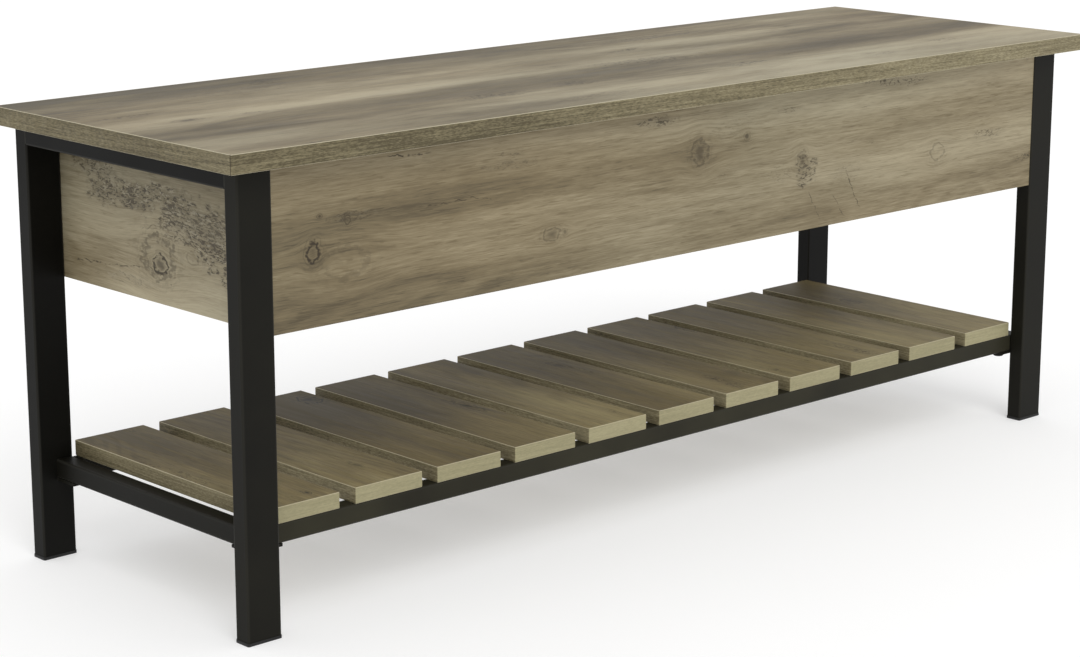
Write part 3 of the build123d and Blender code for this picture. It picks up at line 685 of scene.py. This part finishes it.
END_FEATURES = {
    "chalk": 0.85,
    "dirt": 0.6,
    "knots": (
        (158, 37, 10, 9, 0.75, 1.0, 1.0),
        (160, 45, 24, 19, 0.0, 0.75, 0.7),
        (106, 52, 9, 6, 0.2, 0.6, 0.5),
    ),
    "clusters": (
        (242, 97, 40, 18, 0.8),
        (200, 96, 46, 16, 0.85),
        (150, 104, 60, 14, 0.7),
        (85, 82, 56, 26, 1.0),
        (70, 68, 40, 28, 0.95),
        (125, 86, 40, 20, 0.85),
        (40, 52, 32, 30, 0.7),
        (22, 34, 24, 22, 0.6),
        (260, 118, 50, 14, 0.55),
        (215, 16, 60, 8, 0.35),
    ),
    "cracks": (
        (303, 23, 230, 25, 0.9, 0.85),
        (236, 25, 182, 31, 0.9, 0.7),
        (120, 74, 172, 72, 1.0, 0.5),
        (190, 66, 140, 80, 0.9, 0.5),
    ),
}
HIDDEN_FEATURES = {
    "knots": ((210, 80, 10, 9, 0.7, 0.9, 0.8), (760, 60, 8, 7, 0.6, 0.8, 0.7)),
    "clusters": ((300, 70, 60, 20, 0.6), (820, 90, 70, 18, 0.6)),
}
SLAT_KNOTS = (
    # along and across from the front left corner of the first slat
    (20, 58, 7, 3.5, 1.0, 0.6, 1.0),
    (282, 266, 15, 11, 0.9, 0.8, 1.0),
    (60, 150, 12, 4, 0.8, 0.5, 0.7),
    (150, 372, 24, 6, 0.8, 0.5, 0.9),
    (240, 790, 16, 8, 0.9, 0.7, 0.9),
    (90, 905, 14, 7, 0.8, 0.6, 0.8),
    (200, 1040, 14, 8, 0.8, 0.7, 0.8),
    (210, 560, 18, 7, 0.7, 0.6, 0.8),
)


END_TURN = (0.5, 0.8)            # how squarely a surface faces along its slat
SLAT_SEED = 2.0
SLAT_DRAW = 3.3                  # picks each slat's own tone
SLAT_STEP = 1.7                  # how far along the print each next slat starts


def slat_material():
    """The slats share one print that starts afresh, and differs in tone, from slat to slat."""
    material, t, shader = new_material("grey_wash_slat", Specular_IOR_Level=0.3)
    x, y, z = t.split(t.position())
    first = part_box("slat_01")
    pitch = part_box("slat_02")[0].x - first[0].x
    from_first = t.math("SUBTRACT", x, (first[0].x + first[1].x) / 2)
    index = t.math("ROUND", t.math("DIVIDE", from_first, pitch))
    white = t.nodes.new("ShaderNodeTexWhiteNoise")
    white.noise_dimensions = "1D"
    t.put(white.inputs["W"], t.add(index, SLAT_DRAW))
    chance = white.outputs["Value"]
    place = t.join(t.add(y, t.times(index, SLAT_STEP)), t.add(x, t.times(chance, 0.9)), z)
    board = {
        "place": place, "along": t.split(place)[0], "across": t.split(place)[1], "through": z,
        "wobble": t.noise(t.moved(place, (0.0, 0.0, 0.0), WOBBLE_SCALE), detail=2.0),
        "break": t.noise(t.moved(place, (0.0, 0.3, 0.0), BREAK_SCALE), detail=1.0),
        "shade": slat_shade(t, x, y, chance),
    }
    corner = (first[0].y, first[0].x)
    true_place = dict(board, along=y, across=x, corner=corner)
    mark, _, _ = place_knots(t, true_place, SLAT_KNOTS)
    band_colour, _ = band_face(t, board, SLAT_SEED)
    colour, relief, streaks = wood_face(
        t, board, SLAT_SEED, {}, warmth=1.15, lightness=0.29, contrast=0.8,
    )
    colour = t.blend(mark, colour, SLAT_MARK)
    colour = t.blend(1.0, colour, SLAT_TINT, "MULTIPLY")
    parts = t.split(t.normal())
    facing = t.math("ABSOLUTE", parts[2])
    on_edge = t.fade(facing, *EDGE_TURN, 1.0, 0.0)
    on_end = t.fade(t.math("ABSOLUTE", parts[1]), *END_TURN)
    bead = t.times(t.fade(facing, *BEAD_TURN), t.fade(facing, *FACE_TURN, 1.0, 0.0))
    end_colour = t.blend(0.55, band_colour, END_PALE)
    colour = t.blend(on_edge, colour, t.blend(on_end, band_colour, end_colour))
    colour = t.blend(t.times(bead, 0.75), colour, BEAD)
    t.put(shader.inputs["Base Color"], colour)
    t.put(shader.inputs["Roughness"], t.scaled(streaks, 0.52, 0.68))
    t.put(shader.inputs["Normal"], t.bump(relief, EMBOSS_STRENGTH, EMBOSS_DEPTH))
    return material


# ---- Metal, plastic and rubber ---------------------------------------------------------
COAT_DARK = (17, 16, 12)         # 8-bit, before each tube's tone of painted light and shade
COAT_PALE = (25, 24, 18)
COAT_SPECK = srgb(46, 45, 40)
# The painted sheen along a tube's rounded corners
COAT_SHEEN = srgb(50, 49, 44)
CORNER_SHEEN = (0.9 * MM, 2.8 * MM)       # the painted sheen on a tube's corners fades out over this distance from the corner
# Painted shade: the rear legs and the top rails under the lid get a darker coat, 1 being none
REAR_LEG_PAINTED_SHADE, TOP_RAIL_PAINTED_SHADE = 0.55, 0.4
# Each shelf rail with the axis it runs along and how its coat is painted: painted light above 1, painted
# shade below
SHELF_RAILS = (("front", "X", 1.9), ("rear", "X", 1.0), ("left", "Y", 0.9), ("right", "Y", 0.9))


def toned(parts, tone):
    """An 8-bit colour made paler or darker."""
    return srgb(*(part * tone for part in parts))


def powder_coat(name, node, run, tone=1.0):
    """Black powder coat on a tube along one axis: fine orange peel, with a painted sheen along the corners.
    Its tone makes the whole coat paler or darker as painted light and shade.
    """
    material, t, shader = new_material(name, Specular_IOR_Level=0.1)
    low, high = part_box(node)
    place = dict(zip("XYZ", t.split(t.position())))
    inset = 0.0
    for axis in "XYZ":
        if axis != run:
            index = "XYZ".index(axis)
            middle = (low[index] + high[index]) / 2
            half = (high[index] - low[index]) / 2
            inset = t.add(inset, t.math("SUBTRACT", half, t.off(place[axis], middle)))
    # Where the painted corner sheen lies
    edge = t.fade(inset, *CORNER_SHEEN, 1.0, 0.0)
    where = t.position()
    clouds = t.noise(where, scale=9.0, detail=3.0)
    peel = t.noise(where, scale=900.0, detail=2.0)
    specks = t.fade(t.noise(where, scale=2600.0, detail=1.0), 0.6, 0.75)
    # The tone is this tube's painted light and shade
    dark, pale = toned(COAT_DARK, tone), toned(COAT_PALE, tone)
    colour = t.colours(t.scaled(clouds, 0.0, 1.0), (0.0, dark), (1.0, pale))
    colour = t.blend(t.times(specks, 0.2), colour, COAT_SPECK)
    # Painted sheen along the tube's corners
    colour = t.blend(t.times(edge, 0.4), colour, COAT_SHEEN)
    t.put(shader.inputs["Base Color"], colour)
    t.put(shader.inputs["Roughness"], t.add(t.scaled(clouds, 0.42, 0.52), t.times(edge, -0.06)))
    t.put(shader.inputs["Normal"], t.bump(t.add(peel, t.times(specks, 0.3)), 0.12, 0.12 * MM))
    return material


def moulded(name, dark, light, roughness):
    """Moulded plastic or rubber with a spark-eroded grain."""
    material, t, shader = new_material(name, Specular_IOR_Level=0.3)
    where = t.position()
    grain = t.noise(where, scale=2200.0, detail=3.0)
    clouds = t.noise(where, scale=60.0, detail=2.0)
    tone = t.add(t.scaled(clouds, 0.2, 0.6), t.scaled(grain, -0.2, 0.2))
    t.put(shader.inputs["Base Color"], t.colours(tone, (0.0, dark), (1.0, light)))
    t.put(shader.inputs["Roughness"], t.scaled(grain, roughness - 0.06, roughness + 0.08))
    t.put(shader.inputs["Normal"], t.bump(grain, 0.2, 0.1 * MM))
    return material


def plated(name, dark, light, roughness, brush=(300.0, 300.0, 300.0)):
    """Plated or bare metal with cloudy tone and fine working marks."""
    material, t, shader = new_material(name, Metallic=1.0)
    where = t.position()
    marks = t.noise(t.moved(where, (0.0, 0.0, 0.0), brush), detail=3.0, roughness=0.6)
    clouds = t.noise(where, scale=80.0, detail=3.0)
    tone = t.add(t.scaled(clouds, 0.25, 0.75), t.scaled(marks, -0.15, 0.15))
    t.put(shader.inputs["Base Color"], t.colours(tone, (0.0, dark), (1.0, light)))
    t.put(shader.inputs["Roughness"], t.add(t.scaled(marks, roughness - 0.06, roughness + 0.06),
                                            t.scaled(clouds, -0.04, 0.04)))
    t.put(shader.inputs["Normal"], t.bump(marks, 0.08, 0.08 * MM))
    return material


BEECH_DARK, BEECH_PALE, BEECH_FLECK = srgb(190, 150, 108), srgb(222, 188, 146), srgb(140, 96, 60)


def beech():
    """Raw beech: pale pink-brown with short dark flecks along the dowel."""
    material, t, shader = new_material("beech_dowel", Specular_IOR_Level=0.3)
    where = t.position()
    grain = t.noise(t.moved(where, (0.0, 0.0, 0.0), (90.0, 900.0, 900.0)), detail=3.0)
    short_flecks = t.noise(t.moved(where, (0.0, 0.0, 0.0), (500.0, 2400.0, 2400.0)), detail=1.0)
    flecks = t.fade(short_flecks, 0.6, 0.7)
    colour = t.colours(t.scaled(grain, 0.0, 1.0), (0.0, BEECH_DARK), (1.0, BEECH_PALE))
    t.put(shader.inputs["Base Color"], t.blend(t.times(flecks, 0.5), colour, BEECH_FLECK))
    t.put(shader.inputs["Roughness"], t.scaled(grain, 0.6, 0.75))
    t.put(shader.inputs["Normal"], t.bump(grain, 0.25, 0.2 * MM))
    return material


# ---- Meshes -----------------------------------------------------------------------------
LID_ROUNDING = 0.12 * MM
BAND_ROUNDING = 0.45 * MM
SLAT_ROUNDING = 0.8 * MM


def finish_piece(mesh_data, name, material, body, replaced=()):
    """Turns a bmesh into a piece that rides on a body and stands for CAD nodes."""
    mesh = bpy.data.meshes.new(name)
    bmesh.ops.recalc_face_normals(mesh_data, faces=mesh_data.faces)
    mesh_data.to_mesh(mesh)
    mesh_data.free()
    mesh.materials.append(material)
    piece = bpy.data.objects.new(name, mesh)
    bpy.context.scene.collection.objects.link(piece)
    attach(piece, body)
    if replaced:
        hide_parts(*replaced)
    return piece


def add_slab(mesh_data, low, high, rounding):
    """Adds a board to a bmesh, every edge rounded over."""
    corners = bmesh.ops.create_cube(mesh_data, size=1.0)["verts"]
    size = high - low
    centre = (low + high) / 2
    for vert in corners:
        vert.co = Vector(vert.co[i] * size[i] for i in range(3)) + centre
    edges = list(dict.fromkeys(edge for vert in corners for edge in vert.link_edges))
    bmesh.ops.bevel(mesh_data, geom=edges, offset=rounding, segments=3,
                    profile=0.5, affect="EDGES", clamp_overlap=True)


def harden(piece):
    """Keeps the broad faces flat and turns the shading over the rounded edges only."""
    for face in piece.data.polygons:
        face.use_smooth = True
    modifier = piece.modifiers.new("flat faces", "WEIGHTED_NORMAL")
    modifier.keep_sharp = True
    modifier.weight = 100


def board_piece(name, node, body, material, rounding):
    """A board with rounded edges in place of a CAD board."""
    low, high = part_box(node)
    mesh_data = bmesh.new()
    add_slab(mesh_data, low, high, rounding)
    harden(finish_piece(mesh_data, name, material, body, (node,)))


def edge_bands(material):
    """Four strips round the lid: the end strips are let in between the front and rear ones."""
    low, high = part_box("lid_edge_bands")
    core_low, core_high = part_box("lid_panel")
    mesh_data = bmesh.new()
    strips = (
        ((low.x, low.y, low.z), (high.x, core_low.y, high.z)),
        ((low.x, core_high.y, low.z), (high.x, high.y, high.z)),
        ((low.x, core_low.y, low.z), (core_low.x, core_high.y, high.z)),
        ((core_high.x, core_low.y, low.z), (high.x, core_high.y, high.z)),
    )
    for start, end in strips:
        add_slab(mesh_data, Vector(start), Vector(end), BAND_ROUNDING)
    harden(finish_piece(mesh_data, "lid_edging", material, "lid", ("lid_edge_bands",)))


def close_tube(mesh_data, rings, smooth):
    """Skins a row of vertex rings into a closed tube."""
    for first, second in zip(rings, rings[1:]):
        for k in range(len(first)):
            after = (k + 1) % len(first)
            face = mesh_data.faces.new((first[k], first[after], second[after], second[k]))
            face.smooth = smooth
    mesh_data.faces.new(rings[0])
    mesh_data.faces.new(reversed(rings[-1]))


RIPPLE_LENGTH = 2.2 * MM
RIPPLE_DEPTH = 0.18              # a share of the bead's radius
RIPPLE_STEPS = 6
BEAD_SIDES = 8
FEWEST_STATIONS = 8
BEAD_TIP = 0.05                  # the size of the bead's ends, a share of its radius
BEAD_TAPER = 5.0                 # how steeply the bead grows from its ends


def weld_bead(mesh_data, start, end, outward, radius):
    """A rippled weld bead from start to end, its crown leaning outward."""
    start, end, outward = Vector(start), Vector(end), Vector(outward).normalized()
    length = (end - start).length
    side = (end - start).normalized().cross(outward)
    stations = max(FEWEST_STATIONS, round(length / RIPPLE_LENGTH) * RIPPLE_STEPS)
    turns = [2 * math.pi * k / BEAD_SIDES for k in range(BEAD_SIDES)]
    rings = []
    for i in range(stations + 1):
        share = i / stations
        wave = abs(math.sin(math.pi * share * length / RIPPLE_LENGTH))
        ripple = 1.0 - RIPPLE_DEPTH + RIPPLE_DEPTH * wave
        taper = min(1.0, math.sin(math.pi * share) * BEAD_TAPER) if 0 < share < 1 else BEAD_TIP
        size = radius * ripple * max(taper, BEAD_TIP)
        centre = start.lerp(end, share)
        rings.append([
            mesh_data.verts.new(centre + (outward * math.cos(a) + side * math.sin(a)) * size)
            for a in turns
        ])
    close_tube(mesh_data, rings, True)


TUBE_CORNER = 2.0 * MM           # the rounding of the legs' corners
GROUND_SKIN = 0.05 * MM          # how far below the rail's face the ground weld lies
GROUND_LAP = 0.2 * MM            # how far the ground weld laps onto the rail
GROUND_ARC = [math.radians(angle) for angle in range(0, 91, 15)]


def ground_weld(mesh_data, face_x, seam_y, low_z, high_z, inward):
    """Weld metal ground flush in the groove between a rail's side and its leg's rounded corner."""
    outward = math.copysign(1, face_x)
    surface_x = face_x - outward * GROUND_SKIN
    outline = [(surface_x, seam_y + inward * GROUND_LAP)]
    outline += [
        (surface_x - outward * TUBE_CORNER * (1 - math.cos(a)),
         seam_y - inward * TUBE_CORNER * (1 - math.sin(a)))
        for a in GROUND_ARC
    ]
    rings = [[mesh_data.verts.new((x, y, z)) for x, y in outline] for z in (low_z, high_z)]
    close_tube(mesh_data, rings, False)


TOP_BEAD_RADIUS = 1.1 * MM
TOP_BEAD_INSET = 1.5 * MM        # from the rail's edges
SHELF_BEAD_RADIUS = 1.0 * MM
SHELF_BEAD_INSET = 2.0 * MM


def frame_welds(material):
    """Beads under the top rails where they meet the legs, and ground welds at their outer sides."""
    mesh_data = bmesh.new()
    inset = TOP_BEAD_INSET
    for side in ("left", "right"):
        low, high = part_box(f"top_rail_{side}")
        face_x = low.x if side == "left" else high.x
        for leg_y, inward in ((low.y, 1), (high.y, -1)):
            weld_bead(mesh_data, (low.x + inset, leg_y, low.z), (high.x - inset, leg_y, low.z),
                      (0, inward, -1), TOP_BEAD_RADIUS)
            ground_weld(mesh_data, face_x, leg_y, low.z + inset, high.z - inset, inward)
    finish_piece(mesh_data, "top_rail_welds", material, "frame")


def shelf_welds(material):
    """Beads where the shelf rails meet each other at the corners."""
    mesh_data = bmesh.new()
    for side, inward_x in (("left", 1), ("right", -1)):
        side_low, side_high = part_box(f"shelf_rail_{side}")
        inner_x = side_high.x if side == "left" else side_low.x
        for rail, inward_y in (("front", 1), ("rear", -1)):
            low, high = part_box(f"shelf_rail_{rail}")
            inner_y = high.y if rail == "front" else low.y
            start = (inner_x, inner_y, low.z + SHELF_BEAD_INSET)
            end = (inner_x, inner_y, high.z - SHELF_BEAD_INSET)
            weld_bead(mesh_data, start, end, (inward_x, inward_y, 0), SHELF_BEAD_RADIUS)
    finish_piece(mesh_data, "shelf_frame_welds", material, "frame")


# ---- Putting the looks on -------------------------------------------------------------------
def repaint(material, *nodes):
    """Gives CAD nodes a new material in every slot."""
    for node in nodes:
        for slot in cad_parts[node].material_slots:
            slot.material = material


def nodes_named(start):
    return [node for node in sorted(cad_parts) if node.startswith(start)]


def dress_boards():
    """The seat, the box and the slats."""
    lid = board_material("grey_wash_lid", "XYZ", "lid_panel", 1.0, LID_FEATURES,
                         warmth=0.65, lightness=0.44, shade=lid_shade, contrast=1.5)
    front = board_material("grey_wash_front", "XZY", "front_panel", 3.0, FRONT_FEATURES,
                           warmth=0.6, lightness=0.56, shade=front_shade, contrast=0.85)
    left = board_material("grey_wash_left_end", "YZX", "left_end_panel", 5.0, END_FEATURES,
                          warmth=0.4, lightness=0.6, shade=end_shade, contrast=0.9)
    right = board_material("grey_wash_right_end", "YZX", "right_end_panel", 7.0, END_FEATURES)
    rear = board_material("grey_wash_rear", "XZY", "rear_panel", 8.0, HIDDEN_FEATURES, warmth=0.5)
    bottom = board_material("grey_wash_bottom", "XYZ", "bottom_panel", 9.0, HIDDEN_FEATURES, warmth=0.5)
    band = board_material("edge_banding", "XYZ", "lid_edge_bands", 4.0, {}, shade=band_shade, all_band=True)
    board_piece("lid_board", "lid_panel", "lid", lid, LID_ROUNDING)
    edge_bands(band)
    repaint(front, "front_panel")
    repaint(left, "left_end_panel")
    repaint(right, "right_end_panel")
    repaint(rear, "rear_panel")
    repaint(bottom, "bottom_panel")
    slats = slat_material()
    for node in nodes_named("slat_0") + nodes_named("slat_1"):
        board_piece(node.replace("slat", "shelf_slat"), node, "frame", slats, SLAT_ROUNDING)


def dress_frame():
    """The tubes, their plates and their welds."""
    for node in nodes_named("leg_front"):
        repaint(powder_coat(f"powder_coat_{node}", node, "Z"), node)
    for node in nodes_named("leg_rear"):
        repaint(powder_coat(f"powder_coat_{node}", node, "Z", REAR_LEG_PAINTED_SHADE), node)
    for node in nodes_named("top_rail"):
        repaint(powder_coat(f"powder_coat_{node}", node, "Y", TOP_RAIL_PAINTED_SHADE), node)
    for side, run, tone in SHELF_RAILS:
        node = f"shelf_rail_{side}"
        repaint(powder_coat(f"powder_coat_{node}", node, run, tone), node)
    plate = powder_coat("powder_coat_plates", "shelf_corner_plates", "Z")
    repaint(plate, "shelf_corner_plates")
    frame_welds(plate)
    shelf_welds(plate)


def dress_fittings():
    """Plugs, buffers, hinges, stays, screws and the other fittings."""
    plastic = moulded("black_moulding", srgb(18, 18, 18), srgb(38, 38, 37), 0.5)
    rubber = moulded("bumper_rubber", srgb(40, 40, 40), srgb(66, 66, 66), 0.75)
    zinc = plated("bright_zinc", srgb(150, 152, 152), srgb(208, 208, 202), 0.32)
    cast = plated("cast_zinc_alloy", srgb(128, 128, 126), srgb(176, 176, 172), 0.45)
    black_zinc = plated("black_zinc_plate", srgb(26, 26, 26), srgb(52, 51, 49), 0.38)
    chrome = plated("hard_chrome", srgb(205, 206, 208), srgb(232, 232, 232), 0.12, (1800.0, 60.0, 60.0))
    satin = moulded("satin_black_paint", srgb(20, 20, 21), srgb(34, 34, 34), 0.36)
    repaint(plastic, *nodes_named("foot_plug"), "leg_top_plugs")
    repaint(rubber, "lid_bumpers")
    repaint(zinc, *nodes_named("hinge_"), *nodes_named("stay_wall"), *nodes_named("stay_lid"))
    repaint(zinc, "fixed_screws", "lid_screws", "cam_bolts", "box_bolts", "rail_rivet_nuts")
    repaint(cast, "cam_locks")
    repaint(black_zinc, "shelf_bolts", "slat_screws")
    repaint(chrome, *nodes_named("stay_rod"))
    repaint(satin, *nodes_named("stay_cylinder"))
    repaint(beech(), "dowels")


# ---- Studio ----------------------------------------------------------------------------------
WHITE = (1.0, 1.0, 1.0, 1.0)
FLOOR_DARK, FLOOR_PALE = srgb(204, 204, 204), srgb(208, 208, 208)
FLOOR_REACH = 30.0
FLOOR_DROP = 0.2 * MM            # keeps the floor clear of the feet's soles
FLOOR_GLOW = 0.4
DOME_STRENGTH = 0.85
KEY_STRENGTH, KEY_SPREAD = 1.1, math.radians(35)
KEY_FROM = Vector((-0.42, -1.0, 0.95))
CAMERA_AZIMUTH, CAMERA_ELEVATION = math.radians(-42.81), math.radians(13.44)
CAMERA_DISTANCE = 2.866
CAMERA_AIM = Vector((-0.0465, 0.0257, -0.0534))      # from the middle of the bench
LENS_MM, SENSOR_MM = 88.7, 36.0


def studio_floor():
    """A wide pale floor, faintly lit from within so that its shadows stay soft and light."""
    mesh_data = bmesh.new()
    bmesh.ops.create_grid(mesh_data, x_segments=1, y_segments=1, size=FLOOR_REACH)
    for vert in mesh_data.verts:
        vert.co.z = -FLOOR_DROP
    mesh = bpy.data.meshes.new("studio_floor")
    mesh_data.to_mesh(mesh)
    mesh_data.free()
    material, t, shader = new_material("studio_floor", Roughness=0.9, Specular_IOR_Level=0.1,
                                       Emission_Color=WHITE, Emission_Strength=FLOOR_GLOW)
    tone = t.noise(t.position(), scale=1.5, detail=2.0)
    t.put(shader.inputs["Base Color"], t.colours(tone, (0.0, FLOOR_DARK), (1.0, FLOOR_PALE)))
    mesh.materials.append(material)
    floor = bpy.data.objects.new("studio_floor", mesh)
    bpy.context.scene.collection.objects.link(floor)


def studio_light():
    """A bright, even dome with one soft key from the front."""
    world = bpy.data.worlds.new("studio")
    world.use_nodes = True
    dome = world.node_tree.nodes["Background"]
    dome.inputs["Color"].default_value = WHITE
    dome.inputs["Strength"].default_value = DOME_STRENGTH
    bpy.context.scene.world = world
    light = bpy.data.lights.new("soft_key", "SUN")
    light.energy = KEY_STRENGTH
    light.angle = KEY_SPREAD
    key = bpy.data.objects.new("soft_key", light)
    key.rotation_euler = KEY_FROM.to_track_quat("Z", "Y").to_euler()
    bpy.context.scene.collection.objects.link(key)


def studio_camera():
    """A long lens at the front left, a little above the lid."""
    level = math.cos(CAMERA_ELEVATION)
    back = Vector((math.sin(CAMERA_AZIMUTH) * level, -math.cos(CAMERA_AZIMUTH) * level,
                   math.sin(CAMERA_ELEVATION)))
    data = bpy.data.cameras.new("camera")
    data.lens = LENS_MM
    data.sensor_width = SENSOR_MM
    camera = bpy.data.objects.new("camera", data)
    camera.location = (cad_box[0] + cad_box[1]) / 2 + CAMERA_AIM + back * CAMERA_DISTANCE
    camera.rotation_euler = back.to_track_quat("Z", "Y").to_euler()
    bpy.context.scene.collection.objects.link(camera)
    bpy.context.scene.camera = camera


bpy.context.scene.view_settings.view_transform = "Standard"
studio_camera()
studio_floor()
studio_light()
dress_boards()
dress_frame()
dress_fittings()
